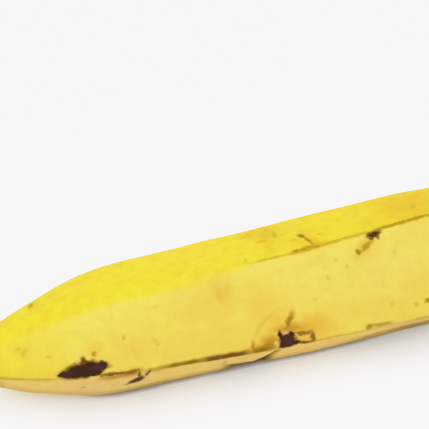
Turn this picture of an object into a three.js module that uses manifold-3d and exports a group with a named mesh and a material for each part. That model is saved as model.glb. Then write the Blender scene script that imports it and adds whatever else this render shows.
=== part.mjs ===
// One ripe banana lying on one of its five flat sides. It grew as one piece, so it is one solid, from
// the dried blossom tip to the cut end of the stem. Millimetres and degrees, +Z up, +X towards the
// stem, -Y the front. The underside is flat where the fruit rests on z = 0, and the origin is the
// bottom centre of the fruit's box.

import * as THREE from 'three';
import { mergeVertices } from 'three/addons/utils/BufferGeometryUtils.js';
import Module from 'manifold-3d';

const { clamp, degToRad, lerp, radToDeg, smoothstep } = THREE.MathUtils;

// Driving dimensions

const LENGTH = 232; // blossom tip to cut stem end, along X
const MIDDLE_HEIGHT = 18.2; // of the body's middle line above the surface

// Distance along X, and from the middle line out to a sharp corner of the section there
const OUTLINE = [
  [0, 3.5], // end of the dried blossom
  [3.5, 5.2],
  [13.8, 11.7],
  [27, 18.0],
  [47, 23.8],
  [75, 24.3],
  [120, 24.7],
  [158, 25.0], // thickest part of the body
  [177, 23.2],
  [192, 18.0],
  [204, 12.0],
  [214, 8.0], // start of the stem
  [223, 6.4],
  [LENGTH, 6.8], // cut end
];

// Corners of the five-sided section, as directions measured from the front up over the top. The two
// corners beside the broad front side turn slowly along the body, so that side widens to the stem.
const BOTTOM_FRONT_CORNER = -54;
const LOWER_FRONT_CORNER = { at: 25.2, turn: -13, from: 45, to: 150 };
const UPPER_CORNER = { at: 93.6, turn: 5, from: 120, to: 175 };
const BACK_CORNER = 162;
const BOTTOM_BACK_CORNER = 234;

// How crisp the corners are: a high power gives flat sides with narrow corners
const TIP_POWER = 5;
const BODY_POWER = 13;
const STEM_POWER = 6;
const BOTTOM_POWER = 5; // the two corners it lies between are pressed rounder
const CRISP_FROM = { start: 25, end: 95 };
const ROUND_AGAIN = { start: 165, end: 215 };

// Both ends rise off the surface, each along its own direction: the neck to the front, the tip back
const TIP_RISE = { height: 2, reach: 122, lean: 110 };
const NECK_RISE = { height: 32, reach: 112, lean: 60 };

// Fineness of the faceted skin
const SIDES = 45;
const STEPS = 48;

const SURFACE_BLOCK = { side: 2 * LENGTH, depth: 20 };
const SKIN_COLOUR = 0xe6ca4d;

const outlineCurve = new THREE.SplineCurve(OUTLINE.map(([x, radius]) => new THREE.Vector2(x, radius)));

/** Direction of one corner at a distance along X. */
function turnedCorner({ at, turn, from, to }, x) {
  return at + turn * smoothstep(x, from, to);
}

function cornersAt(x) {
  return [
    BOTTOM_FRONT_CORNER,
    turnedCorner(LOWER_FRONT_CORNER, x),
    turnedCorner(UPPER_CORNER, x),
    BACK_CORNER,
    BOTTOM_BACK_CORNER,
  ];
}

function cornerPower(x, direction) {
  const crisper = (BODY_POWER - TIP_POWER) * smoothstep(x, CRISP_FROM.start, CRISP_FROM.end);
  const rounder = (BODY_POWER - STEM_POWER) * smoothstep(x, ROUND_AGAIN.start, ROUND_AGAIN.end);
  const power = TIP_POWER + crisper - rounder;
  const downwards = smoothstep(-Math.sin(degToRad(direction)), 0.25, 0.8);
  return lerp(power, BOTTOM_POWER, downwards);
}

/** Distance from the middle line to the skin: each side of the section holds it in, and the power
    sum of all five rounds the corners between them. */
function skinDistance(x, cornerRadius, direction) {
  const corners = cornersAt(x);
  const power = cornerPower(x, direction);
  let sum = 0;
  corners.forEach((corner, i) => {
    const next = corners[i + 1] ?? corners[0] + 360;
    const sideDistance = cornerRadius * Math.cos(degToRad((next - corner) / 2));
    const facing = Math.cos(degToRad(direction - (corner + next) / 2));
    sum += (Math.max(facing, 0) / sideDistance) ** power;
  });
  return sum ** (-1 / power);
}

/** How far one end is lifted, as a share of its full rise: a parabola over its reach. */
function riseShare(distanceFromEnd, reach) {
  return clamp(1 - distanceFromEnd / reach, 0, 1) ** 2;
}

function middlePoint(x) {
  const tip = TIP_RISE.height * riseShare(x, TIP_RISE.reach);
  const neck = NECK_RISE.height * riseShare(LENGTH - x, NECK_RISE.reach);
  const tipLean = degToRad(TIP_RISE.lean);
  const neckLean = degToRad(NECK_RISE.lean);
  const y = -tip * Math.cos(tipLean) - neck * Math.cos(neckLean);
  const z = MIDDLE_HEIGHT + tip * Math.sin(tipLean) + neck * Math.sin(neckLean);
  return new THREE.Vector3(x, y, z);
}

/** The section's own axes at x: towards the front, and up, both square to the middle line. */
function sectionAxes(x) {
  const along = middlePoint(x + 1).sub(middlePoint(x - 1)).normalize();
  const front = new THREE.Vector3().crossVectors(along, new THREE.Vector3(0, 0, 1)).normalize();
  const up = new THREE.Vector3().crossVectors(front, along);
  return { front, up };
}

/** A closed cylinder along Y, with each of its points moved out to the fruit's skin. */
function skinGeometry() {
  const geometry = new THREE.CylinderGeometry(1, 1, 1, SIDES, STEPS);
  const position = geometry.getAttribute('position');
  for (let i = 0; i < position.count; i++) {
    const across = position.getX(i);
    const upward = position.getZ(i);
    const { x, y: cornerRadius } = outlineCurve.getPoint(position.getY(i) + 0.5);
    const { front, up } = sectionAxes(x);
    const direction = radToDeg(Math.atan2(upward, across));
    const reach = Math.hypot(across, upward) * skinDistance(x, cornerRadius, direction);
    const spot = middlePoint(x)
      .addScaledVector(front, reach * Math.cos(degToRad(direction)))
      .addScaledVector(up, reach * Math.sin(degToRad(direction)));
    position.setXYZ(i, spot.x, spot.y, spot.z);
  }
  return geometry;
}

const wasm = await Module();
wasm.setup();

/** A closed geometry as a solid that can be cut. */
function solidFrom(geometry) {
  const bare = geometry.clone();
  bare.deleteAttribute('normal');
  bare.deleteAttribute('uv');
  const merged = mergeVertices(bare, 1e-4);
  const vertProperties = merged.getAttribute('position').array;
  const triVerts = new Uint32Array(merged.index.array);
  return new wasm.Manifold(new wasm.Mesh({ numProp: 3, vertProperties, triVerts }));
}

function geometryFrom(solid) {
  const { vertProperties, triVerts } = solid.getMesh();
  const geometry = new THREE.BufferGeometry();
  geometry.setAttribute('position', new THREE.BufferAttribute(vertProperties, 3));
  geometry.setIndex(new THREE.BufferAttribute(triVerts, 1));
  return geometry;
}

/** The skin, cut flat by the surface that the fruit lies on. */
function fruitGeometry() {
  const block = new THREE.BoxGeometry(SURFACE_BLOCK.side, SURFACE_BLOCK.side, SURFACE_BLOCK.depth);
  block.translate(LENGTH / 2, 0, -SURFACE_BLOCK.depth / 2);
  const geometry = geometryFrom(solidFrom(skinGeometry()).subtract(solidFrom(block)));
  geometry.computeBoundingBox();
  const centre = geometry.boundingBox.getCenter(new THREE.Vector3());
  geometry.translate(-centre.x, -centre.y, 0);
  geometry.computeVertexNormals();
  return geometry;
}

const skin = new THREE.MeshStandardMaterial({ color: SKIN_COLOUR, roughness: 0.55, metalness: 0 });
const banana = new THREE.Mesh(fruitGeometry(), skin);
banana.name = 'banana';

const fruit = new THREE.Group();
fruit.add(banana);

export default fruit;
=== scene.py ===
import math
from collections import namedtuple

import bmesh
import bpy
from bpy.props import FloatProperty, FloatVectorProperty, IntProperty, PointerProperty
from mathutils import Matrix, Vector, noise


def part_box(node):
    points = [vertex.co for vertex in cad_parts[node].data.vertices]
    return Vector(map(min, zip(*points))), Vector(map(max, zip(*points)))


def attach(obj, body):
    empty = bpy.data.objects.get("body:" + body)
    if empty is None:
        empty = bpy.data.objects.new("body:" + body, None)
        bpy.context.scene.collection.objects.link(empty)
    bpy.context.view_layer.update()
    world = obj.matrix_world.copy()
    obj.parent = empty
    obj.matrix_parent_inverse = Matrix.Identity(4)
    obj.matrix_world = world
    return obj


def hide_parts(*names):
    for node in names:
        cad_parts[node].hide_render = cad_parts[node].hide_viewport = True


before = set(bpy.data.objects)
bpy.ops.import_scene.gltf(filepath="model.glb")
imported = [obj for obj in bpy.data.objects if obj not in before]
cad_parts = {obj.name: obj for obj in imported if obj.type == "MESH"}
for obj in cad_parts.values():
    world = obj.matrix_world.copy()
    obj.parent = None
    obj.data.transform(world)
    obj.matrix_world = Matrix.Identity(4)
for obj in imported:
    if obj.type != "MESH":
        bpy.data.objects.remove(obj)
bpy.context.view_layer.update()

bl_info = {
    "name": "Ripe Banana",
    "version": (1, 0, 0),
    "blender": (4, 5, 0),
    "location": "3D View > Sidebar > Banana",
    "description": "Grows one ripe banana over its packed solid and lights it in a plain studio",
    "category": "Add Mesh",
}

FRUIT_NODE = "banana"
MM = 0.001

# The fruit's shape. Lengths in millimetres, directions in degrees, measured in the section from the
# front (-Y) up over the top. "Along" is the distance from the blossom tip towards the stem.

FULL_LENGTH = 232.0

# Along, and out from the middle line to a sharp corner of the section
TIP_OUTLINE = ((0.8, 0), (0.5, 0.9), (0.1, 1.8), (0, 2.6), (0.4, 3.3), (1.4, 3.9), (3.2, 4.9), (7.2, 8))
BODY_OUTLINE = (
    (13.8, 11.7), (27, 18), (47, 23.8), (75, 24.3), (120, 24.7),
    (158, 25), (177, 23.2), (192, 18), (204, 12), (214, 8), (221, 6.6),
)
STEM_OUTLINE = (
    (226, 6.4), (229.2, 6.6), (230.9, 6.8), (231.7, 6.5), (232, 5.9), (231.9, 4.7),
    (231.5, 3.1), (231.2, 1.5), (231.1, 0),
)

# Corners of the five-sided section: direction, turn along the body, and where the turn happens
Corner = namedtuple("Corner", "name at turn start end")
CORNERS = (
    Corner("bottom_front", -54, 0, 0, 1),
    Corner("lower_front", 25.2, -13, 45, 150),
    Corner("upper", 93.6, 5, 120, 175),
    Corner("back", 162, 0, 0, 1),
    Corner("bottom_back", 234, 0, 0, 1),
)

TIP_POWER = 5
BODY_POWER = 13
STEM_POWER = 6
BOTTOM_POWER = 5
CRISP_FROM = (25, 95)
ROUND_AGAIN = (165, 215)

TIP_LEAN = 110
TIP_REACH = 122
NECK_LEAN = 60
NECK_REACH = 112
MIDDLE_HEIGHT = 18.2
REST_SOFTNESS = 0.25
# How far a direction points down where the rounder corners start and are full
DOWNWARD = (0.25, 0.8)
# Middle of the fruit's box, measured from the blossom end of its middle line
BOX_MIDDLE = (116.8, -1.6, 0)

Station = namedtuple("Station", "along radius outward centre front up corners sides power")


def smooth_step(value, start, end):
    share = min(max((value - start) / (end - start), 0), 1)
    return share * share * (3 - 2 * share)


def bell(distance, width):
    return math.exp(-(distance / width) ** 2)


def curve_through(points, steps_each=24):
    """A smooth curve through (along, radius) points, as a list of close points."""
    curve = []
    last = len(points) - 1
    for i in range(last):
        before = points[max(i - 1, 0)]
        start, end = points[i], points[i + 1]
        after = points[min(i + 2, last)]
        for step in range(steps_each):
            t = step / steps_each
            spot = []
            for p0, p1, p2, p3 in zip(before, start, end, after):
                leave, arrive = (p2 - p0) / 2, (p3 - p1) / 2
                cubic = (2 * p1 - 2 * p2 + leave + arrive) * t ** 3
                square = (-3 * p1 + 3 * p2 - 2 * leave - arrive) * t ** 2
                spot.append(cubic + square + leave * t + p1)
            curve.append(tuple(spot))
    curve.append(points[last])
    return curve


def evenly_spaced(curve, count):
    """The curve's points at count even steps of its own length, each with its outward direction."""
    lengths = [0]
    for a, b in zip(curve, curve[1:]):
        lengths.append(lengths[-1] + math.dist(a, b))
    spots, i = [], 0
    for k in range(count):
        wanted = lengths[-1] * k / (count - 1)
        while i < len(curve) - 2 and lengths[i + 1] < wanted:
            i += 1
        a, b = curve[i], curve[i + 1]
        gap = lengths[i + 1] - lengths[i]
        share = (wanted - lengths[i]) / gap
        spot = (a[0] + (b[0] - a[0]) * share, a[1] + (b[1] - a[1]) * share)
        spots.append((spot, (-(b[1] - a[1]) / gap, (b[0] - a[0]) / gap)))
    return spots


def corner_direction(corner, along):
    return corner.at + corner.turn * smooth_step(along, corner.start, corner.end)


def corner_power(along):
    crisper = (BODY_POWER - TIP_POWER) * smooth_step(along, *CRISP_FROM)
    rounder = (BODY_POWER - STEM_POWER) * smooth_step(along, *ROUND_AGAIN)
    return TIP_POWER + crisper - rounder


def section_share(sides, power, direction):
    """The skin's distance for a section with its sharp corners one unit out: each of the five sides
    holds it in, and the corners it lies between are rounder."""
    power += (BOTTOM_POWER - power) * smooth_step(-math.sin(direction), *DOWNWARD)
    total = 0
    for middle, half_cosine in sides:
        total += (max(math.cos(direction - middle), 0) / half_cosine) ** power
    return total ** (-1 / power)


def sides_at(along):
    """Direction of each side's middle, and the cosine of half its width."""
    corners = [corner_direction(corner, along) for corner in CORNERS]
    pairs = zip(corners, corners[1:] + [corners[0] + 360])
    return [(math.radians((one + other) / 2), math.cos(math.radians((other - one) / 2)))
            for one, other in pairs]


def middle_point(shape, along):
    tip = shape.tip_rise / MM * max(1 - along / TIP_REACH, 0) ** 2
    neck = shape.neck_rise / MM * max(1 - (FULL_LENGTH - along) / NECK_REACH, 0) ** 2
    tip_lean, neck_lean = math.radians(TIP_LEAN), math.radians(NECK_LEAN)
    sideways = -tip * math.cos(tip_lean) - neck * math.cos(neck_lean)
    height = MIDDLE_HEIGHT + tip * math.sin(tip_lean) + neck * math.sin(neck_lean)
    return Vector((along, sideways, height))


def station_at(shape, spot, outward):
    along, radius = spot
    forward = (middle_point(shape, along + 1) - middle_point(shape, along - 1)).normalized()
    front = forward.cross(Vector((0, 0, 1))).normalized()
    corners = [corner_direction(corner, along) for corner in CORNERS]
    return Station(along, radius, outward, middle_point(shape, along), front, front.cross(forward),
                   corners, sides_at(along), corner_power(along))


def gap_to(corner, direction, reach):
    """Distance round the skin from a direction (degrees) to a corner."""
    turn = (direction - corner + 180) % 360 - 180
    return abs(math.radians(turn)) * reach


# Degrees from a corner's crest to its dark line, or for the bottom front corner to where the painted
# shade low on the lower side is measured from
LINE_OFFSETS = {"bottom_front": 14, "lower_front": -0.2, "upper": 0.3, "back": 0, "bottom_back": 0}
# Towards the tip the upper corner is soft, and the upper side's deep yellow runs down over it
YELLOW_OVERLAP = 6
OVERLAP_ENDS = (84, 104)
# Half width of the soft border between two sides, in millimetres
SIDE_BLEND = 1.4


# Fine shape: what age, handling and its own weight did to the skin. Heights in millimetres.

# Height of the raised cord along each corner, and where along the fruit it starts and fades
CORDS = {
    "bottom_front": (0.15, 20, 205),
    "lower_front": (0.28, 14, 205),
    "upper": (0.3, 88, 208),
    "back": (0.3, 18, 208),
    "bottom_back": (0.22, 16, 205),
}
CORD_WIDTH = 0.9
CORD_FADE = 18
# Slow and quick waves in the skin: height, length, and where their noise is read
WAVES = ((0.42, 24, (0, 0, 0)), (0.12, 8, (9, 4, 2)))
# Stretches along the fruit where one kind of skin turns into the next
BODY_STARTS = (8, 30)
UPPER_HARDENS = (78, 116)
NECK_SHRINKS = (186, 212)
BLOSSOM_ENDS = (2.5, 7)
CUT_STARTS = (230.6, 231.4)
# Where the upper corner is soft it is this much lower, over this width
UPPER_LOWERED, UPPER_SOFT_WIDTH = 0.75, 6
NECK_RIBS = 11
BLOSSOM_RIBS = 5

# Hollows pressed into the skin: along, direction, half length, half width, depth, turn
Hollow = namedtuple("Hollow", "along direction length width depth turn")
HOLLOWS = tuple(Hollow(*row) for row in (
    # Sunken bruises and scars
    (39.8, 32.5, 8, 3.4, 0.35, 14),
    (107, 21.5, 3.4, 3.2, 0.5, 0),
    (144.6, 93.4, 3, 1.8, 0.35, 5),
    (57.2, 11.5, 4.6, 1.1, 0.4, 55),
    (121.4, 110, 5, 0.8, 0.25, -76),
    (88.3, 77, 6, 3.2, 0.22, 98),
    # The lower front side is folded: a flap between two creases, and the skin beside it pressed in
    (92.5, -34, 4.6, 5, 0.45, 0),
    (88.6, -22, 5, 2, 0.4, -74),
    (101.7, -12, 9.6, 1.5, 1.25, 76),
    (100.4, -29, 2.8, 4.6, 0.5, 0),
    (94, -4, 4.6, 4.6, -0.3, 0),
    (126, -37, 22, 7, -0.55, 0),
))


def hollow_depth(spot, reach, hollow):
    """Depth of one hollow at a spot of the straightened fruit."""
    facing = math.radians(hollow.direction)
    across = -spot.y * math.sin(facing) + spot.z * math.cos(facing)
    outward = spot.y * math.cos(facing) + spot.z * math.sin(facing)
    if outward < 0.3 * reach:
        return 0
    turn = math.radians(hollow.turn)
    along = spot.x - hollow.along
    u = (along * math.cos(turn) + across * math.sin(turn)) / hollow.length
    v = (-along * math.sin(turn) + across * math.cos(turn)) / hollow.width
    return hollow.depth * math.exp(-(u * u + v * v) ** 2)


def skin_height(station, spot, direction, reach, gaps):
    """How far the real skin stands out from, or sinks below, the plain section."""
    along, turn = station.along, math.radians(direction)
    on_body = smooth_step(along, *BODY_STARTS)
    height = 0
    for tall, long, read_at in WAVES:
        height += on_body * tall * noise.noise(spot / long + Vector(read_at))
    for corner, gap in zip(CORNERS, gaps):
        raised, start, end = CORDS[corner.name]
        fading = 1 - smooth_step(along, end - CORD_FADE, end)
        present = smooth_step(along, start, start + CORD_FADE) * fading
        height += raised * present * bell(gap, CORD_WIDTH)
    soft_upper = 1 - smooth_step(along, *UPPER_HARDENS)
    height -= UPPER_LOWERED * soft_upper * on_body * bell(gaps[2], UPPER_SOFT_WIDTH)
    for hollow in HOLLOWS:
        height -= hollow_depth(spot, reach, hollow)
    # The neck shrinks into long fine ribs, and the stem is fibrous
    neck = smooth_step(along, *NECK_SHRINKS)
    ribs = math.sin(turn * NECK_RIBS + 3 * noise.noise(spot / 14))
    fibres = noise.noise(Vector((along / 26, spot.y / 1.6, spot.z / 1.6)))
    height += neck * (0.16 * ribs + 0.22 * fibres)
    # The dried blossom is rough
    dried = 1 - smooth_step(along, *BLOSSOM_ENDS)
    height += dried * (0.55 * noise.noise(spot / 1.3) + 0.3 * math.sin(turn * BLOSSOM_RIBS))
    # The cut end shows its fibres
    cut = smooth_step(along, *CUT_STARTS) * (1 - smooth_step(reach, 5, 6.4))
    height += cut * 0.35 * noise.noise(spot / 1.1 + Vector((0, 7, 3)))
    return height


def settle(height):
    """Presses what would sink below the surface flat on to it, with a soft edge."""
    if height > REST_SOFTNESS:
        return height
    return REST_SOFTNESS * math.exp((height - REST_SOFTNESS) / REST_SOFTNESS)


def place_on_skin(shape, station, direction_deg):
    """The skin's point, its place on the straightened fruit, and its distances to the dark lines."""
    direction = math.radians(direction_deg)
    reach = station.radius * section_share(station.sides, station.power, direction)
    across, upward = math.cos(direction), math.sin(direction)
    spot = Vector((station.along, reach * across, reach * upward))
    gaps = [gap_to(corner, direction_deg, max(reach, 0.01)) for corner in station.corners]
    lines = [gap_to(at + LINE_OFFSETS[corner.name], direction_deg, max(reach, 0.01))
             for corner, at in zip(CORNERS, station.corners)]
    height = skin_height(station, spot, direction_deg, reach, gaps)
    height *= min(reach / 2, 1) if station.outward[1] > 0.5 else 1
    out = reach + height * station.outward[1]
    forward = station.front.cross(station.up) * -1
    place = station.centre + station.front * (out * across) + station.up * (out * upward)
    place += forward * (height * station.outward[0])
    place.z = settle(place.z)
    return place, spot, lines


def side_shares(station, direction_deg, reach):
    """How much a point belongs to the lower front strip, the broad front side and the upper side."""
    bottom, lower, upper, back, _ = station.corners
    upper -= YELLOW_OVERLAP * (1 - smooth_step(station.along, *OVERLAP_ENDS))

    def past(corner):
        turn = (direction_deg - corner + 180) % 360 - 180
        return smooth_step(math.radians(turn) * reach, -SIDE_BLEND, SIDE_BLEND)

    return Vector((past(bottom) * (1 - past(lower)), past(lower) * (1 - past(upper)),
                   past(upper) * (1 - past(back))))


def grow_fruit(shape):
    """A closed tube along X, one ring of points a station, moved out to the skin."""
    outline = curve_through(TIP_OUTLINE + BODY_OUTLINE + STEM_OUTLINE)
    rings = shape.rings
    stations = [station_at(shape, spot, outward) for spot, outward in evenly_spaced(outline, rings)]

    bm = bmesh.new()
    bmesh.ops.create_cone(bm, cap_ends=False, segments=shape.sides, radius1=1, radius2=1, depth=1)
    long_edges = [edge for edge in bm.edges if abs(edge.verts[0].co.z - edge.verts[1].co.z) > 0.5]
    bmesh.ops.subdivide_edges(bm, edges=long_edges, cuts=rings - 2, use_grid_fill=True)

    straight = bm.verts.layers.float_vector.new("straight_place")
    front_gaps = bm.verts.layers.float_vector.new("front_corner_gaps")
    rear_gaps = bm.verts.layers.float_vector.new("rear_corner_gaps")
    side_layer = bm.verts.layers.float_vector.new("side_shares")
    unrolled = bm.loops.layers.uv.new("unrolled")

    ends = ([], [])
    turns = {}
    for vert in bm.verts:
        index = round((vert.co.z + 0.5) * (rings - 1))
        direction = math.degrees(math.atan2(vert.co.y, vert.co.x))
        station = stations[index]
        place, spot, lines = place_on_skin(shape, station, direction)
        vert.co = place
        vert[straight] = spot
        vert[front_gaps] = Vector((lines[1], lines[2], lines[0]))
        vert[rear_gaps] = Vector((lines[3], lines[4], 0))
        vert[side_layer] = side_shares(station, direction, max(math.hypot(spot.y, spot.z), 0.01))
        turns[vert] = ((direction + 90) % 360) / 360
        if index == 0:
            ends[0].append(vert)
        elif index == rings - 1:
            ends[1].append(vert)

    for face in bm.faces:
        shares = [turns[loop.vert] for loop in face.loops]
        wraps = max(shares) - min(shares) > 0.5
        for loop, share in zip(face.loops, shares):
            if wraps and share < 0.5:
                share += 1
            loop[unrolled].uv = (loop.vert[straight].x / FULL_LENGTH, share)

    for pole in ends:
        centre = sum((vert.co for vert in pole), Vector()) / len(pole)
        bmesh.ops.pointmerge(bm, verts=pole, merge_co=centre)
    bmesh.ops.recalc_face_normals(bm, faces=bm.faces)
    return bm


def fit_to_frame(mesh):
    """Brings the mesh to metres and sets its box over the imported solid's box."""
    low, high = (Vector(corner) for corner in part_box(FRUIT_NODE))
    middle = (low + high) / 2
    shift = Vector((middle.x, middle.y, low.z)) - Vector(BOX_MIDDLE) * MM
    mesh.transform(Matrix.Translation(shift) @ Matrix.Scale(MM, 4))


# Marks on the peel. Along in mm, direction in degrees, half length and half width in mm, turn in
# degrees from the fruit's length, softness as a share of the mark's size, strength from 0 to 1.

Mark = namedtuple("Mark", "along direction length width turn soft strength")

MARKS = {}
MARKS["tan"] = (
    # Soft patches on the broad side
    (83, 69, 9, 8, 0, 0.9, 0.6),
    (88.6, 77, 6, 3.4, 98, 0.9, 0.95),
    (27, 46, 8, 6, 0, 0.9, 0.18),
    (58, 43, 10, 5, 0, 0.9, 0.62),
    (84, 34, 26, 6, -4, 0.9, 0.5),
    (100.5, 54, 6, 6.5, 0, 0.9, 0.62),
    (106, 42, 12, 6, 10, 0.9, 0.4),
    (116.5, 28, 9.5, 4.2, -6, 0.9, 0.9),
    (141, 27, 24, 4.4, -4, 0.9, 0.55),
    (156, 36, 8, 5.5, 15, 0.9, 0.6),
    (150, 44, 16, 8, 0, 0.9, 0.22),
    (44.8, 50.5, 3.6, 2.2, 20, 0.9, 0.8),
    (22.5, 66, 2.4, 3, 0, 0.9, 0.35),
    # Warm skin near the upper corner
    (140, 82, 4.6, 2.6, 20, 0.9, 0.6),
    # On the lower front side, beside the stroke and beyond the fold
    (48.2, 9, 5, 1.8, 88, 0.8, 0.6),
    (118, 32, 10, 4, -6, 0.9, 0.6),
    (117, 4, 9, 3, 0, 0.9, 0.25),
    (116, 138, 5, 6, 0, 0.9, 0.3),
)
MARKS["orange"] = (
    # Round the second bruise
    (101.2, 22.6, 3, 2.6, 0, 0.8, 0.95),
    (98, 20.4, 4.2, 1.2, 0, 0.8, 0.85),
    (108.4, 29.6, 4.6, 1.3, -6, 0.8, 0.85),
    (115, 27, 6, 2.6, -6, 0.9, 0.5),
    (112.8, 19.6, 3.4, 1.8, -12, 0.6, 0.65),
    (104.5, 34, 4, 2.6, 40, 0.9, 0.4),
    (109, 37, 2.8, 1.1, 60, 0.7, 0.8),
    # On the upper side and beside its corner
    (122.6, 96.6, 4.8, 1, 0, 0.8, 0.6),
    (140.6, 86.6, 4, 1.6, 25, 0.9, 0.55),
    (104.5, 147, 4, 2.4, 80, 0.9, 0.55),
    (109.2, 128, 3.6, 9, 0, 0.9, 0.22),
    (122, 105, 4.4, 5, 0, 0.9, 0.3),
    # Deeper orange on the upper side near the neck: partly the peel's own tone, partly painted shade
    (160, 124, 10, 12, 0, 0.9, 0.4),
    # On the upper side near the tip
    (28.4, 140, 4, 1.8, 86, 0.9, 0.35),
)
MARKS["olive"] = (
    # Freckles
    (29.8, 52.3, 0.7, 0.6, 0, 0.8, 0.35),
    (22.5, 64, 1.6, 0.9, 60, 0.9, 0.3),
    (20.9, 71.5, 0.9, 0.7, 0, 0.9, 0.3),
    (28.2, 140, 1.8, 0.8, 80, 0.7, 0.7),
    (44.1, 48.3, 0.95, 0.8, 60, 0.5, 0.85),
    (48.3, 35.4, 0.9, 0.5, 0, 0.7, 0.6),
    (54.6, 56.8, 0.6, 0.6, 0, 0.7, 0.5),
    (57, 42.5, 2.4, 0.45, -70, 0.8, 0.12),
    (64.2, 47.6, 1, 0.7, -40, 0.8, 0.3),
    (64.9, 44.3, 0.7, 0.6, 0, 0.8, 0.3),
    (66.6, 77.5, 1.6, 0.35, 5, 0.8, 0.25),
    (99.3, 98.4, 1.5, 0.6, 85, 0.8, 0.4),
    (128.9, 80.9, 0.8, 0.6, 0, 0.8, 0.35),
    (88, 75.6, 2.6, 0.9, 100, 0.9, 0.16),
    (91.4, 79.6, 2, 0.8, 80, 0.9, 0.12),
    (132.5, 72.9, 0.6, 0.8, 0, 0.8, 0.4),
    (124.8, 67.6, 0.6, 0.9, 0, 0.8, 0.35),
    (150.5, 77, 0.6, 0.6, 0, 0.8, 0.25),
    (118.9, 49.8, 0.8, 0.6, 0, 0.8, 0.25),
    (145.5, 28, 0.9, 0.7, 0, 0.9, 0.3),
    (154, 23.2, 0.8, 0.7, 0, 0.7, 0.5),
    (158.1, 24.1, 1, 0.8, 0, 0.5, 0.95),
    (38.9, 5.7, 1, 0.8, 30, 0.7, 0.7),
    # Below the upper spot, and on the upper side
    (137.6, 82.9, 0.85, 0.75, 0, 0.45, 1),
    (141, 85.5, 3, 0.75, 28, 0.7, 0.8),
    (120.2, 118.2, 1.9, 1, -80, 0.6, 1),
    (110.2, 143, 5.5, 3, 80, 0.9, 0.3),
    (109.2, 130, 3.2, 8, 0, 0.9, 0.2),
    (158, 126, 8, 9, 0, 0.9, 0.12),
    (110.8, 147, 1.8, 1, 80, 0.8, 0.5),
    (112.4, 133, 2.8, 0.9, 84, 0.8, 0.55),
    (107.6, 126.6, 1.3, 0.8, 0, 0.6, 0.5),
    (114.7, 130.2, 1, 0.8, 0, 0.8, 0.35),
    (117.4, 113, 1.2, 0.8, 0, 0.9, 0.3),
    (116, 94.8, 0.9, 0.7, 0, 0.6, 0.9),
    (126.5, 111, 0.9, 0.7, 0, 0.8, 0.4),
    (160.5, 118, 1, 2, 0, 0.8, 0.4),
    # Along the lower front corner
    (97.6, 19.2, 4, 1.2, 2, 0.7, 0.8),
    (135.8, 15.4, 1.5, 1, 10, 0.5, 1),
    (140.4, 14.6, 4.2, 0.75, -4, 0.6, 0.9),
    # Round the two bruises
    (36.6, 39.4, 2.2, 0.6, 20, 0.5, 0.8),
    (109.4, 37.8, 2.1, 0.8, 62, 0.6, 0.5),
    (107.6, 35, 1.1, 0.45, 100, 0.6, 0.7),
    (111.4, 17, 2, 0.7, -20, 0.5, 0.9),
    (102.2, 43.8, 1.8, 0.6, 32, 0.9, 0.28),
    (99.6, 39.2, 2.1, 0.65, 44, 0.9, 0.34),
    (97.6, 33.4, 2, 0.6, 60, 0.9, 0.3),
    # Painted shade in the left crease of the fold, and the tail of the stroke
    (86.2, -5, 7, 0.8, -86, 0.7, 0.4),
    (53.6, 1.6, 1.7, 1, 62, 0.8, 0.6),
)
MARKS["brown"] = (
    # Round the first bruise, with a spike that stands up from it
    (39.4, 33.2, 8.2, 2.8, 10, 0.25, 0.9),
    (40.4, 42.4, 1, 1.6, 0, 0.5, 0.95),
    (41, 40.4, 2.6, 1.1, 0, 0.5, 0.95),
    (42.6, 41.2, 2.2, 0.8, 0, 0.6, 0.8),
    (46.6, 38.4, 1, 0.9, 0, 0.5, 0.9),
    (49, 27.8, 6, 0.6, -3, 0.6, 0.85),
    (54.6, 26.6, 3.4, 0.9, 2, 0.6, 0.8),
    # Round the second bruise, with a crack above it and a square scar beside it
    (107, 20, 3.1, 2.9, 0, 0.35, 0.9),
    (101.2, 21.8, 3.2, 2.4, 10, 0.9, 0.38),
    (108.6, 29.4, 4.8, 1.3, -8, 0.9, 0.36),
    (108.4, 35.4, 3, 0.75, 58, 0.7, 0.5),
    (112.4, 24, 3.4, 0.65, -12, 0.6, 0.75),
    (115.3, 18.6, 1.8, 0.9, 90, 0.6, 0.8),
    (112.8, 16, 2.9, 0.65, -14, 0.6, 0.75),
    (95.4, 24, 1.5, 0.6, 84, 0.7, 0.45),
    # The upper spot, and the crack on the upper side
    (144.6, 93.5, 2.9, 1, 6, 0.5, 1),
    (143.4, 91.8, 1, 0.9, 0, 0.5, 0.9),
    (145.8, 91.4, 0.8, 1, 0, 0.5, 0.9),
    (121.8, 105.6, 4, 0.65, -76, 0.8, 0.65),
    (120.2, 118.6, 0.9, 0.5, -80, 0.6, 0.35),
    (119.6, 96.4, 4.6, 0.55, 4, 0.7, 0.4),
    # The forked stroke on the lower front side
    (56.2, 9.5, 3.8, 2.3, 60, 0.4, 0.95),
    (57.3, 21.5, 2, 0.6, 90, 0.5, 0.85),
    (59.9, 20.8, 1.9, 0.6, 68, 0.5, 0.85),
    (53.9, 2.4, 1.6, 0.9, 62, 0.6, 0.6),
    # Painted shade in the creases of the fold and under its flap
    (90, -32, 4.6, 2.4, -80, 0.8, 0.15),
    (101.6, -12, 8.6, 1.7, 76, 0.6, 0.9),
    (100, -26, 6, 2.8, 82, 0.7, 0.85),
    (95.5, -36, 6, 2.4, 0, 0.8, 0.35),
)
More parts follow.
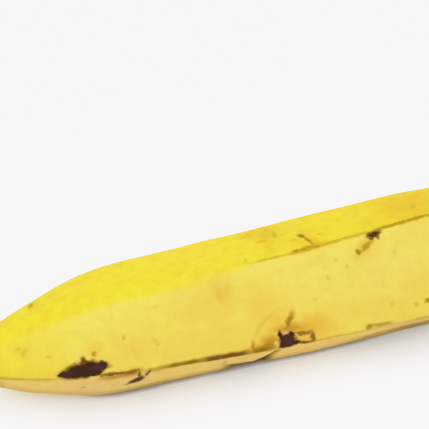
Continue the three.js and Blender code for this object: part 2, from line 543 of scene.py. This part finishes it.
MARKS["bruise"] = (
    (39.5, 33.2, 6.4, 2.15, 10, 0.16, 1),
    (38.2, 29, 5.8, 0.85, 2, 0.25, 1),
    (32.8, 30.2, 1.6, 0.85, 20, 0.3, 1),
    (37, 36, 2.2, 0.9, 25, 0.25, 1),
    (43.4, 31, 2.4, 1.2, 14, 0.25, 1),
    (45.4, 36, 2.3, 1.7, 20, 0.22, 1),
    (42.4, 38.8, 1.9, 0.9, 0, 0.28, 1),
    (106.8, 19, 2.35, 2.2, 0, 0.18, 1),
    (104.9, 25.2, 2, 0.8, 96, 0.35, 1),
    (108.6, 24.2, 1, 1, 0, 0.3, 1),
    (109.6, 17.2, 1.3, 0.9, 0, 0.3, 1),
    (105.2, 16, 1.5, 1, 0, 0.3, 1),
    (144.8, 93.6, 2, 0.6, 6, 0.6, 0.35),
    (56, 9.5, 3, 1.4, 60, 0.45, 0.8),
    # Painted shade deep in the creases of the fold
    (101.5, -13, 7.6, 0.8, 76, 0.6, 0.65),
    (100.2, -25, 5, 1.3, 84, 0.7, 0.6),
)
# The redder middles of the bruises, and painted shade deep in the fold
MARKS["heart"] = (
    (34.6, 30.6, 2.2, 1, 14, 0.6, 0.7),
    (44.6, 35.4, 1.9, 1.2, 10, 0.4, 0.85),
    (107.1, 20, 1.6, 1.6, 0, 0.5, 0.85),
    (90.6, -26, 3.4, 5, 0, 0.7, 0.34),
)
MARKS["pale"] = (
    (103, 20.8, 0.9, 0.6, -60, 0.5, 0.8),
    (106.9, 26.4, 0.8, 0.5, 0, 0.5, 0.7),
    (112.6, 19.7, 1.5, 0.6, -14, 0.6, 0.3),
    (58.6, 21.8, 0.5, 1.2, 0, 0.5, 0.6),
    (59.6, 2, 3, 1.6, 60, 0.7, 0.5),
    (38.4, 43.6, 1, 0.6, 20, 0.7, 0.6),
    # Bloom on the lower front side
    (42, -3, 2.6, 3, 0, 0.8, 0.7),
    # Painted highlights on the lit edges of the fold's flap
    (84, 3, 5, 0.8, 88, 0.6, 0.5),
    (93, 4, 6, 2.4, -20, 0.8, 0.6),
    (103, 9, 1.6, 0.8, 60, 0.6, 0.5),
    # Bloom on the lower front side, and on the broad side near the neck
    (117, -10, 12, 5, 0, 0.8, 0.25),
    (150, 9, 12, 1.2, -8, 0.8, 0.6),
    (148, 62, 20, 6, 0, 0.9, 0.12),
)

# Lines along the corners: corner gap name, from, to, half width, strength
Line = namedtuple("Line", "corner start end width strength")
LINES = {}
LINES["tan"] = (
    # Painted shade along the rounded lower front corner
    ("lower_front", 60, 104, 2.2, 0.6),
)
LINES["orange"] = (
    ("lower_front", 8, 33, 0.8, 0.25),
    ("lower_front", 42, 60, 1.9, 0.6),
    ("lower_front", 92, 104, 1.6, 0.85),
    ("upper", 112, 126, 0.9, 0.5),
    ("upper", 150, 200, 1.2, 0.4),
)
LINES["olive"] = (
    ("lower_front", 8, 33, 0.5, 0.45),
    ("lower_front", 56, 69, 0.9, 0.6),
    ("lower_front", 64, 82, 1, 0.75),
    ("lower_front", 92, 104, 1.2, 0.8),
    ("lower_front", 112, 196, 0.5, 0.45),
    ("upper", 98, 121, 0.5, 0.55),
    ("upper", 111, 130, 0.65, 0.7),
    ("upper", 122, 146, 0.65, 0.6),
    ("upper", 142, 200, 0.64, 0.9),
    ("back", 30, 200, 0.5, 0.5),
    ("bottom_back", 24, 200, 0.6, 0.55),
)
LINES["brown"] = (
    ("lower_front", 42, 60, 0.9, 0.45),
    ("lower_front", 62, 80, 0.8, 0.6),
    ("lower_front", 76, 96, 1.2, 0.9),
    ("lower_front", 92, 103, 0.9, 0.5),
    ("back", 52, 96, 0.5, 0.5),
    ("bottom_back", 110, 150, 0.6, 0.5),
)
LINES["bruise"] = (
    ("back", 116, 140, 0.6, 0.6),
)

# The inks in the order they are laid on, and the colour setting that each one takes
INKS = {"tan": "tan", "orange": "orange", "olive": "olive_line", "brown": "brown_line",
        "bruise": "bruise", "heart": "bruise_heart_and_fold_shade", "pale": "pale_scar_and_highlight"}
SOFT_INKS = {"tan", "orange"}


class Wiring:
    """Adds nodes to a tree and joins them up."""

    def __init__(self, tree):
        self.tree = tree

    def node(self, kind, **settings):
        made = self.tree.nodes.new(kind)
        for name, value in settings.items():
            setattr(made, name, value)
        return made

    def feed(self, socket, value):
        """Links a socket to another, or sets it to a plain value."""
        if isinstance(value, bpy.types.NodeSocket):
            self.tree.links.new(value, socket)
        else:
            socket.default_value = value

    def fill(self, made, values):
        """Feeds a node's sockets by name."""
        for name, value in values.items():
            self.feed(made.inputs[name], value)
        return made

    def math(self, operation, first, second=0):
        made = self.node("ShaderNodeMath", operation=operation)
        self.feed(made.inputs[0], first)
        self.feed(made.inputs[1], second)
        return made.outputs[0]

    def plus(self, first, second):
        return self.math("ADD", first, second)

    def minus(self, first, second):
        return self.math("SUBTRACT", first, second)

    def times(self, first, second):
        return self.math("MULTIPLY", first, second)

    def larger(self, first, second):
        return self.math("MAXIMUM", first, second)

    def vector(self, operation, first, second=None, scale=None):
        made = self.node("ShaderNodeVectorMath", operation=operation)
        self.feed(made.inputs[0], first)
        if second is not None:
            self.feed(made.inputs[1], second)
        if scale is not None:
            self.feed(made.inputs["Scale"], scale)
        return made.outputs["Value" if operation == "LENGTH" else "Vector"]

    def split(self, vector):
        made = self.node("ShaderNodeSeparateXYZ")
        self.feed(made.inputs[0], vector)
        return made.outputs

    def ramp(self, value, start, end, low=0, high=1):
        """A smooth step of value between start and end."""
        made = self.node("ShaderNodeMapRange", interpolation_type="SMOOTHSTEP", clamp=True)
        for socket, number in zip(made.inputs, (value, start, end, low, high)):
            self.feed(socket, number)
        return made.outputs["Result"]

    def mix(self, share, first, second):
        """Mixes two colours, each of them a socket or a plain colour."""
        made = self.node("ShaderNodeMix", data_type="RGBA")
        self.feed(made.inputs[0], share)
        for socket, shade in ((made.inputs[6], first), (made.inputs[7], second)):
            self.feed(socket, shade if isinstance(shade, bpy.types.NodeSocket) else (*shade, 1))
        return made.outputs[2]

    def noise(self, vector, scale, detail=2, roughness=0.5, output="Fac"):
        made = self.fill(self.node("ShaderNodeTexNoise"), {
            "Vector": vector, "Scale": scale, "Detail": detail, "Roughness": roughness})
        return made.outputs[output]

    def attribute(self, name):
        return self.node("ShaderNodeAttribute", attribute_name=name).outputs["Vector"]


# Each mark waits for the one before it, so that the renderer works through a long list in turn
WAIT = 1e-6
# How far a mark reaches into and out of the skin, in millimetres
MARK_DEPTH = 9
# A corner line fades out between these shares of its half width, and over this length at its ends
LINE_EDGE = (1.5, 0.45)
LINE_FADE = 5


def mask_group(name, vectors, numbers):
    """A new node group that gives one mask: its wiring, and the sockets that it is given."""
    group = bpy.data.node_groups.new(name, "ShaderNodeTree")
    for names, kind in ((vectors, "NodeSocketVector"), (numbers, "NodeSocketFloat")):
        for socket in names:
            group.interface.new_socket(name=socket, in_out="INPUT", socket_type=kind)
    group.interface.new_socket(name="Mask", in_out="OUTPUT", socket_type="NodeSocketFloat")
    wire = Wiring(group)
    return wire, wire.node("NodeGroupInput").outputs


def mark_group():
    """A node group that adds one mark to the marks before it: an oval on the skin, solid in the
    middle and soft at its edge."""
    wire, given = mask_group("peel_mark", ("Place", "Centre", "Turn", "Size"),
                             ("Soft", "Strength", "Before"))
    before, soft = given["Before"], given["Soft"]
    mapping = wire.fill(wire.node("ShaderNodeMapping", vector_type="TEXTURE"), {
        "Vector": wire.vector("ADD", given["Place"], wire.times(before, WAIT)),
        "Location": given["Centre"], "Rotation": given["Turn"], "Scale": given["Size"]})
    distance = wire.vector("LENGTH", mapping.outputs[0])
    mask = wire.ramp(distance, wire.plus(1, soft), wire.minus(1, soft))
    strong = wire.times(mask, given["Strength"])
    wire.feed(wire.node("NodeGroupOutput").inputs[0], wire.larger(strong, before))
    return wire.tree


def line_group():
    """A node group that adds one stretch of line along a corner to the lines before it."""
    wire, given = mask_group("peel_line", (),
                             ("Gap", "Along", "Start", "End", "Width", "Strength", "Before"))
    along, start, end, width = given["Along"], given["Start"], given["End"], given["Width"]
    before = given["Before"]
    gap = wire.plus(given["Gap"], wire.times(before, WAIT))
    outer, inner = (wire.times(width, share) for share in LINE_EDGE)
    across = wire.ramp(gap, outer, inner)
    opening = wire.ramp(along, start, wire.plus(start, LINE_FADE))
    closing = wire.ramp(along, end, wire.minus(end, LINE_FADE))
    mask = wire.times(wire.times(across, wire.times(opening, closing)), given["Strength"])
    wire.feed(wire.node("NodeGroupOutput").inputs[0], wire.larger(mask, before))
    return wire.tree


def skin_reach_at(along, direction_deg):
    """Distance from the middle line to the plain skin, for placing a mark on it."""
    outline = curve_through(TIP_OUTLINE[4:] + BODY_OUTLINE + STEM_OUTLINE[:3])
    radius = next(spot[1] for spot in outline if spot[0] >= along)
    return radius * section_share(sides_at(along), corner_power(along), math.radians(direction_deg))


def mark_mask(wire, group, place, mark, before):
    """Adds one mark, turned to lie on the skin where it is."""
    facing = math.radians(mark.direction)
    reach = skin_reach_at(mark.along, mark.direction)
    level = Matrix.Rotation(-math.radians(mark.turn), 3, "Z")
    lying = Matrix.Rotation(facing - math.pi / 2, 3, "X") @ level
    made = wire.fill(wire.node("ShaderNodeGroup", node_tree=group), {
        "Place": place,
        "Centre": (mark.along, reach * math.cos(facing), reach * math.sin(facing)),
        "Turn": tuple(lying.to_euler("XYZ")), "Size": (mark.length, mark.width, MARK_DEPTH),
        "Soft": mark.soft, "Strength": mark.strength, "Before": before})
    return made.outputs[0]


def line_mask(wire, group, gaps, along, line, before):
    made = wire.fill(wire.node("ShaderNodeGroup", node_tree=group), {
        "Gap": gaps[line.corner], "Along": along, "Start": line.start, "End": line.end, "Width": line.width,
        "Strength": line.strength, "Before": before})
    return made.outputs[0]


def wobble(wire, place, scale, amount):
    """The place, pushed about by noise, so that edges aren't smooth."""
    centred = wire.vector("SUBTRACT", wire.noise(place, scale, output="Color"), (0.5, 0.5, 0.5))
    return wire.vector("ADD", place, wire.vector("SCALE", centred, scale=amount))


# Where the peel changes along the fruit: a smooth step from the first place to the second
DEEP_TIP = (52, 18)
WARM_TO_NECK = (88, 150)
# Painted shade low on the lower side, and along its edge next to the floor
LOW_SHADE_GROWS = (40, 66)
LOW_SHADE_CLIMBS = (124, 150)
LOW_SHADE_FADES = (158, 184)
EDGE_SHADE_GROWS = (50, 80)
EDGE_SHADE_FADES = (158, 182)
NECK_STREAKS = (190, 214)
STEM_TURNS = (196, 222)
BROWN_TIP = (20, 11)
DRY_TIP = (14.5, 9)
CUT_DARKENS = (229.8, 231)
# Stretches that open with one such step and close with another
BLOOM = ((26, 40), (68, 54))
# Stretches of the lower side that get little of the painted shade
LONG_BRIGHT = ((100, 105), (138, 118))
SHORT_BRIGHT = ((66, 74), (94, 80))
# The painted low shade's upper edge, as gaps from the low corner where it starts and is full, and how far it
# climbs
LOW_SHADE_EDGE, LOW_SHADE_CLIMB = (10, 3.5), (16, 8.5)
# Fibres run along the fruit, so their noise is stretched that way
FIBRE_STRETCH = (0.045, 1, 1)
BRUISE_ROUGHNESS = 0.62

Skin = namedtuple("Skin", "place along front rear strip broad upper")


def read_skin(wire):
    """What each point of the skin carries: its place, its gaps to the corners, and its side."""
    place = wire.attribute("straight_place")
    return Skin(place, wire.split(place)[0], wire.split(wire.attribute("front_corner_gaps")),
                wire.split(wire.attribute("rear_corner_gaps")), *wire.split(wire.attribute("side_shares")))


def stretch(wire, along, opens, closes, most=1):
    """Rises to most where a stretch of the fruit opens, and is nothing once it has closed."""
    return wire.times(wire.ramp(along, *opens, 0, most), wire.ramp(along, *closes))


def base_yellow(wire, skin, colours):
    """Deep on the upper side, paler on the broad side, pinkish on the lower side, in soft patches."""
    place, along, upper = skin.place, skin.along, skin.upper
    # The upper side's deeper yellow and the broad side's paler yellow are partly the peel's own colour and
    # partly painted light: painted yellow bounce light on the upper side and a painted sheen on the broad
    # side
    shade = wire.mix(skin.broad, colours.deep_yellow, colours.pale_yellow)
    shade = wire.mix(wire.times(wire.ramp(along, *DEEP_TIP), 0.75), shade, colours.deep_yellow)
    patches = wire.ramp(wire.noise(place, 0.035), 0.42, 0.68)
    patch_share = wire.ramp(upper, 0, 1, 0.35, 0.15)
    shade = wire.mix(wire.times(patches, patch_share), shade, colours.warm_yellow)
    amber = wire.ramp(wire.noise(place, 0.11, 3, 0.6), 0.45, 0.68, 0, 0.13)
    warm_end = wire.plus(wire.ramp(along, *WARM_TO_NECK, 0, 0.16), amber)
    shade = wire.mix(wire.times(warm_end, upper), shade, colours.orange)
    shade = wire.mix(skin.strip, shade, colours.strip_yellow)
    mottle = wire.ramp(wire.noise(place, 0.16, 3, 0.6), 0.45, 0.75)
    shade = wire.mix(wire.times(mottle, 0.25), shade, colours.warm_yellow)

    # Pale bloom on the lower side near the tip
    bloom = wire.times(wire.times(stretch(wire, along, *BLOOM), skin.strip), 0.45)
    return wire.mix(bloom, shade, colours.pale_scar_and_highlight)


def painted_low_shade_share(wire, skin):
    """Painted shade low on the lower side and along its lowest edge, next to the floor. It climbs where
    the fruit rises, and a long and a short stretch get little of it."""
    along, gap = skin.along, skin.front[2]
    climb = wire.ramp(along, *LOW_SHADE_CLIMBS)
    outer, inner = (wire.plus(wire.times(climb, more), edge) for more, edge in zip(LOW_SHADE_CLIMB, LOW_SHADE_EDGE))
    low_shade = wire.times(wire.ramp(gap, outer, inner), skin.strip)
    share = wire.ramp(along, *LOW_SHADE_GROWS, 0.25, 0.65)
    bright = wire.larger(stretch(wire, along, *LONG_BRIGHT), stretch(wire, along, *SHORT_BRIGHT, 0.7))
    share = wire.times(share, wire.minus(1, bright))
    towards_neck = wire.ramp(along, *LOW_SHADE_FADES, 0.85, 0.25)
    share = wire.larger(share, wire.times(climb, towards_neck))
    share = wire.math("MINIMUM", share, towards_neck)
    edge_shade = wire.times(wire.ramp(gap, 10, 2), wire.ramp(along, *EDGE_SHADE_GROWS, 0.3, 0.95))
    elsewhere = wire.minus(1, wire.times(bright, 0.7))
    elsewhere = wire.times(elsewhere, wire.ramp(along, *EDGE_SHADE_FADES, 1, 0.1))
    return wire.larger(wire.times(low_shade, share), wire.times(edge_shade, elsewhere))


def clouded(wire, skin, shade):
    """Cloudy brightness, stronger on the upper side."""
    cloud = wire.minus(wire.noise(skin.place, 0.3, 4, 0.65), 0.5)
    depth = wire.ramp(skin.upper, 0, 1, 0.36, 0.5)
    level = wire.plus(wire.times(cloud, depth), 1)
    dull = wire.ramp(wire.noise(skin.place, 0.13, 3, 0.6), 0.46, 0.7, 0, 0.07)
    level = wire.minus(level, wire.times(dull, skin.upper))
    return wire.vector("SCALE", shade, scale=level)


def ink_masks(wire, skin):
    """Marks and corner lines, as one mask for each ink."""
    place = skin.place
    ragged = wobble(wire, wobble(wire, place, 0.55, 1.4), 2.2, 0.7)
    soft_push = wobble(wire, ragged, 0.22, 4)
    line_push = wire.times(wire.minus(wire.noise(place, 0.5, 3), 0.5), 0.8)
    raw = {"lower_front": skin.front[0], "upper": skin.front[1],
           "back": skin.rear[0], "bottom_back": skin.rear[1]}
    gaps = {name: wire.math("ABSOLUTE", wire.plus(gap, line_push)) for name, gap in raw.items()}
    broken = wire.ramp(wire.noise(place, 0.12, 3), 0.3, 0.5, 0.8, 1)
    mark_nodes, line_nodes = mark_group(), line_group()
    masks = {}
    for ink in INKS:
        mask = 0
        for row in LINES.get(ink, ()):
            mask = line_mask(wire, line_nodes, gaps, skin.along, Line(*row), mask)
        mask = wire.times(mask, broken)
        source = soft_push if ink in SOFT_INKS else ragged
        for row in MARKS[ink]:
            mask = mark_mask(wire, mark_nodes, source, Mark(*row), mask)
        masks[ink] = mask
    return masks


def freckle_mask(wire, place):
    """Freckles scattered over the whole peel, thicker in some places."""
    speck = wire.fill(wire.node("ShaderNodeTexVoronoi", feature="F1"), {
        "Vector": wobble(wire, place, 1.5, 0.5), "Scale": 0.21})
    crowd = wire.ramp(wire.noise(place, 0.05, 1), 0.45, 0.7, 0.05, 0.13)
    return wire.times(wire.ramp(speck.outputs["Distance"], crowd, wire.times(crowd, 0.4)), 0.35)


def peel_material(colours):
    """Waxy peel: yellow that differs from side to side, dark lines on the corners, bruises, freckles, painted
    shade.
    """
    material = bpy.data.materials.new("peel")
    material.use_nodes = True
    material.node_tree.nodes.clear()
    wire = Wiring(material.node_tree)
    skin = read_skin(wire)
    place = skin.place
    shade = base_yellow(wire, skin, colours)
    # Painted shade low on the lower side, next to the floor
    shade = wire.mix(painted_low_shade_share(wire, skin), shade, colours.painted_low_shade)
    shade = clouded(wire, skin, shade)

    # Fine fibres under the wax
    fibre_place = wire.vector("MULTIPLY", place, FIBRE_STRETCH)
    fibres = wire.ramp(wire.noise(fibre_place, 1.4, 3, 0.6), 0.35, 0.8)
    shade = wire.mix(wire.times(fibres, 0.05), shade, colours.tan)

    # Marks, lines and freckles, and the dried blossom, streaked neck, stem and cut end
    masks = ink_masks(wire, skin)
    push_along = wire.plus(skin.along, wire.times(wire.noise(fibre_place, 0.6), 9))
    shade = wire.mix(wire.times(wire.ramp(push_along, *STEM_TURNS), 0.8), shade, colours.stem)
    streaks = wire.times(wire.ramp(push_along, *NECK_STREAKS), fibres)
    for ink, mask in (
        ("olive", freckle_mask(wire, place)),
        ("olive", wire.times(streaks, 0.6)),
        ("brown", wire.times(wire.ramp(push_along, *BROWN_TIP), 0.7)),
        ("bruise", wire.ramp(push_along, *DRY_TIP)),
        ("bruise", wire.times(wire.ramp(skin.along, *CUT_DARKENS), 0.9)),
    ):
        masks[ink] = wire.larger(masks[ink], mask)
    for ink, name in INKS.items():
        shade = wire.mix(masks[ink], shade, getattr(colours, name))

    # Roughness and fine relief
    fine = wire.noise(place, 2.6, 4, 0.65)
    rough = wire.ramp(masks["bruise"], 0, 1, colours.peel_roughness, BRUISE_ROUGHNESS)
    rough = wire.plus(rough, wire.times(wire.minus(fine, 0.5), 0.16))
    relief = wire.plus(wire.times(fine, 0.5), wire.times(fibres, 0.35))
    relief = wire.minus(relief, wire.times(masks["bruise"], 0.8))
    relief = wire.minus(relief, wire.times(masks["brown"], 0.4))
    bump = wire.fill(wire.node("ShaderNodeBump"), {"Strength": 0.35, "Distance": 0.0004, "Height": relief})
    shader = wire.fill(wire.node("ShaderNodeBsdfPrincipled"), {
        "Base Color": shade, "Roughness": rough, "Normal": bump.outputs[0], "IOR": 1.42,
        "Specular IOR Level": 0, "Coat Weight": 0.08, "Coat Roughness": 0.35})
    wire.feed(wire.node("ShaderNodeOutputMaterial").inputs["Surface"], shader.outputs[0])
    return material


# Studio: pale floor, soft light and the camera

SOFTBOX_SIZE = 1.5
SOFTBOX_DISTANCE = 1.2
SOFTBOX_ELEVATION = math.radians(84.0)
SOFTBOX_TURN = math.radians(180.0)
SENSOR_WIDTH = 36.0
CLIP_END = 20.0


def add_object(name, data):
    """A new object at the origin, in the scene's own collection."""
    made = bpy.data.objects.new(name, data)
    bpy.context.scene.collection.objects.link(made)
    return made


def paper_material(studio):
    """Plain pale paper, with the thin dark line of shade where something touches it."""
    material = bpy.data.materials.new("floor_paper")
    material.use_nodes = True
    wire = Wiring(material.node_tree)
    nearness = wire.node("ShaderNodeAmbientOcclusion", samples=12)
    nearness.inputs["Distance"].default_value = studio.contact_reach
    openness = wire.math("POWER", nearness.outputs["AO"], studio.contact_depth)
    wire.fill(material.node_tree.nodes["Principled BSDF"], {
        "Base Color": wire.mix(openness, studio.contact_colour, studio.floor_colour),
        "Roughness": 0.9, "Specular IOR Level": 0.1})
    return material


def lay_floor(studio):
    bm = bmesh.new()
    bmesh.ops.create_grid(bm, x_segments=1, y_segments=1, size=studio.floor_size / 2.0)
    mesh = bpy.data.meshes.new("floor")
    bm.to_mesh(mesh)
    bm.free()
    mesh.materials.append(paper_material(studio))
    add_object("floor", mesh)


def hang_softbox(studio):
    """A square softbox that hangs at a distance from the fruit and faces it."""
    lamp = bpy.data.lights.new("softbox", "AREA")
    lamp.shape = "SQUARE"
    lamp.size = SOFTBOX_SIZE
    lamp.energy = studio.softbox_power
    holder = add_object("softbox", lamp)
    level = math.cos(SOFTBOX_ELEVATION)
    direction = Vector((math.sin(SOFTBOX_TURN) * level, -math.cos(SOFTBOX_TURN) * level,
                        math.sin(SOFTBOX_ELEVATION)))
    holder.location = direction * SOFTBOX_DISTANCE
    holder.rotation_euler = direction.to_track_quat("Z", "Y").to_euler()


def light_evenly(studio):
    """Even white light from all round."""
    world = bpy.data.worlds.new("even_light")
    world.use_nodes = True
    background = world.node_tree.nodes["Background"]
    background.inputs["Color"].default_value = (1.0, 1.0, 1.0, 1.0)
    background.inputs["Strength"].default_value = studio.sky_strength
    bpy.context.scene.world = world


def aim_camera(studio):
    """Looks down on the front side, with the fruit rising to the right across the picture."""
    up_tilt, turn = studio.camera_height, studio.camera_turn
    right = Vector((math.cos(turn), math.sin(turn), 0.0))
    level = Vector((-math.sin(turn), math.cos(turn), 0.0))
    forward = level * math.cos(up_tilt) - Vector((0.0, 0.0, 1.0)) * math.sin(up_tilt)
    up = right.cross(forward)
    target = Vector(studio.camera_target) + up * studio.camera_rise
    data = bpy.data.cameras.new("camera")
    data.sensor_width = SENSOR_WIDTH
    data.lens = SENSOR_WIDTH * studio.camera_distance / studio.view_width
    data.clip_end = CLIP_END
    camera = add_object("camera", data)
    place = target - forward * studio.camera_distance
    axes = Matrix((right, up, -forward)).transposed().to_4x4()
    camera.matrix_world = Matrix.Translation(place) @ axes
    bpy.context.scene.camera = camera


# Picture tones: brightness that reaches the camera and brightness shown, up to the whitest white
WHITEST = 1.9
TONES = ((0.0, 0.0), (0.6, 0.6), (0.8, 0.755), (1.05, 0.87), (1.28, 0.912), (WHITEST, 0.92))


def soften_highlights(view):
    """Rolls the brightest tones off gently, so that the floor reads as even, pale paper."""
    view.view_transform = "Standard"
    view.use_curve_mapping = True
    mapping = view.curve_mapping
    mapping.white_level = (WHITEST, WHITEST, WHITEST)
    points = mapping.curves[3].points
    points[0].location = TONES[0]
    points[-1].location = (1.0, TONES[-1][1])
    for reaching, shown in TONES[1:-1]:
        points.new(reaching / WHITEST, shown)
    mapping.update()


# Settings, operators and panel

def shade_property(name, description, default):
    return FloatVectorProperty(name=name, description=description, subtype="COLOR", size=3,
                               min=0.0, max=1.0, default=default)


def length_property(name, description, default):
    return FloatProperty(name=name, description=description, default=default, unit="LENGTH")


class FruitShape(bpy.types.PropertyGroup):
    tip_rise: length_property("Tip rise", "How far the blossom tip lifts off the surface", 0.002)
    neck_rise: length_property("Neck rise", "How far the stem end lifts off the surface", 0.032)
    sides: IntProperty(name="Points round", description="Points in each ring of the skin",
                       default=216, min=20)
    rings: IntProperty(name="Rings along", description="Rings of points along the fruit",
                       default=420, min=20)


class PeelColours(bpy.types.PropertyGroup):
    # Deep and pale yellow per side are partly the peel's own colour, partly painted bounce light and sheen
    deep_yellow: shade_property("Deep yellow", "Upper and rear sides", (0.60, 0.413, 0.015))
    pale_yellow: shade_property("Pale yellow", "Broad front side", (0.585, 0.418, 0.063))
    strip_yellow: shade_property("Strip yellow", "Lower front side", (0.58, 0.37, 0.088))
    warm_yellow: shade_property("Warm yellow", "Soft darker patches", (0.55, 0.36, 0.036))
    tan: shade_property("Tan", "Soft dull patches", (0.53, 0.31, 0.036))
    orange: shade_property("Orange", "Halos round bruises", (0.46, 0.22, 0.013))
    olive_line: shade_property("Olive", "Thin corner lines and freckles", (0.20, 0.138, 0.0))
    # Brown also paints shade in the fold's creases
    brown_line: shade_property("Brown", "Scratches and scars", (0.055, 0.016, 0.0))
    # Bruise also paints shade deep in the fold's creases
    bruise: shade_property("Bruise", "Dark bruises", (0.026, 0.011, 0.005))
    # Bruise heart also paints shade deep in the fold
    bruise_heart_and_fold_shade: shade_property("Bruise heart", "Redder middles of the bruises", (0.045, 0.013, 0.012))
    # Pale scar also paints highlights on the fold's flap
    pale_scar_and_highlight: shade_property("Pale scar", "Light scuffs", (0.50, 0.32, 0.12))
    # Painted shade low on the lower side, next to the floor
    painted_low_shade: shade_property("Dusk", "Dull skin low on the side that it lies beside", (0.16, 0.098, 0.020))
    stem: shade_property("Stem", "Neck and stem", (0.31, 0.225, 0.034))
    peel_roughness: FloatProperty(name="Peel roughness", description="Roughness of the waxy peel",
                                  default=0.42, min=0.0, max=1.0)


class StudioSettings(bpy.types.PropertyGroup):
    floor_size: length_property("Floor size", "Side of the square floor", 6.0)
    floor_colour: shade_property("Floor", "Colour of the pale floor", (0.95, 0.95, 0.95))
    contact_colour: shade_property("Contact shade", "Colour of the floor right against the fruit",
                                   (0.11, 0.075, 0.015))
    contact_reach: length_property("Contact reach", "Width of the shade at the contact", 0.0027)
    contact_depth: FloatProperty(name="Contact depth", description="How fast that shade deepens", default=1.7)
    sky_strength: FloatProperty(name="Sky", description="Strength of the even light all round", default=1.05)
    softbox_power: FloatProperty(name="Softbox", description="Power of the wide softbox overhead",
                                 default=20.0, unit="POWER")
    camera_height: FloatProperty(name="Camera height", description="Angle of the camera above the floor",
                                 default=math.radians(60.0), subtype="ANGLE")
    camera_turn: FloatProperty(name="Camera turn", description="Turn of the camera about the upright",
                               default=math.radians(-15.4), subtype="ANGLE")
    camera_distance: length_property("Camera distance", "Camera to fruit", 0.7)
    view_width: length_property("View width", "Width of the picture at the fruit", 0.143)
    camera_rise: length_property("Camera rise", "How far above the fruit the view centres", 0.0315)
    camera_target: FloatVectorProperty(name="Target", description="Point of the fruit below the centre",
                                       size=3, subtype="XYZ", default=(-0.0288, 0.0016, 0.0187),
                                       unit="LENGTH")


class BANANA_OT_grow_fruit(bpy.types.Operator):
    """Grows the fruit in one piece, from the dried blossom to the cut stem, and gives it its peel"""
    bl_idname = "banana.grow_fruit"
    bl_label = "Grow the Fruit"

    def execute(self, context):
        if FRUIT_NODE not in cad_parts:
            raise RuntimeError("the packed model has no node named " + FRUIT_NODE)
        bm = grow_fruit(context.scene.fruit_shape)
        mesh = bpy.data.meshes.new("banana_peel")
        bm.to_mesh(mesh)
        bm.free()
        fit_to_frame(mesh)
        mesh.polygons.foreach_set("use_smooth", [True] * len(mesh.polygons))
        mesh.materials.append(peel_material(context.scene.peel_colours))
        fruit = add_object("banana_fruit", mesh)
        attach(fruit, "root")
        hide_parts(FRUIT_NODE)
        return {"FINISHED"}


class BANANA_OT_set_stage(bpy.types.Operator):
    """Sets the pale floor, the soft light and the camera"""
    bl_idname = "banana.set_stage"
    bl_label = "Set the Stage"

    def execute(self, context):
        studio = context.scene.banana_studio
        lay_floor(studio)
        hang_softbox(studio)
        light_evenly(studio)
        aim_camera(studio)
        soften_highlights(context.scene.view_settings)
        return {"FINISHED"}


class BANANA_PT_panel(bpy.types.Panel):
    """Lists the steps and the settings that shape the fruit"""
    bl_label = "Ripe Banana"
    bl_idname = "BANANA_PT_panel"
    bl_space_type = "VIEW_3D"
    bl_region_type = "UI"
    bl_category = "Banana"

    def draw(self, context):
        layout = self.layout
        layout.operator(BANANA_OT_grow_fruit.bl_idname)
        layout.operator(BANANA_OT_set_stage.bl_idname)
        for title, group in (("Shape", context.scene.fruit_shape), ("Peel", context.scene.peel_colours),
                             ("Studio", context.scene.banana_studio)):
            box = layout.box()
            box.label(text=title)
            for name in group.__annotations__:
                box.prop(group, name)


CLASSES = (FruitShape, PeelColours, StudioSettings, BANANA_OT_grow_fruit, BANANA_OT_set_stage,
           BANANA_PT_panel)


def register():
    for cls in CLASSES:
        bpy.utils.register_class(cls)
    bpy.types.Scene.fruit_shape = PointerProperty(type=FruitShape)
    bpy.types.Scene.peel_colours = PointerProperty(type=PeelColours)
    bpy.types.Scene.banana_studio = PointerProperty(type=StudioSettings)


def unregister():
    del bpy.types.Scene.banana_studio
    del bpy.types.Scene.peel_colours
    del bpy.types.Scene.fruit_shape
    for cls in reversed(CLASSES):
        bpy.utils.unregister_class(cls)


def main():
    register()
    bpy.ops.banana.grow_fruit()
    bpy.ops.banana.set_stage()


if __name__ == "__main__":
    main()
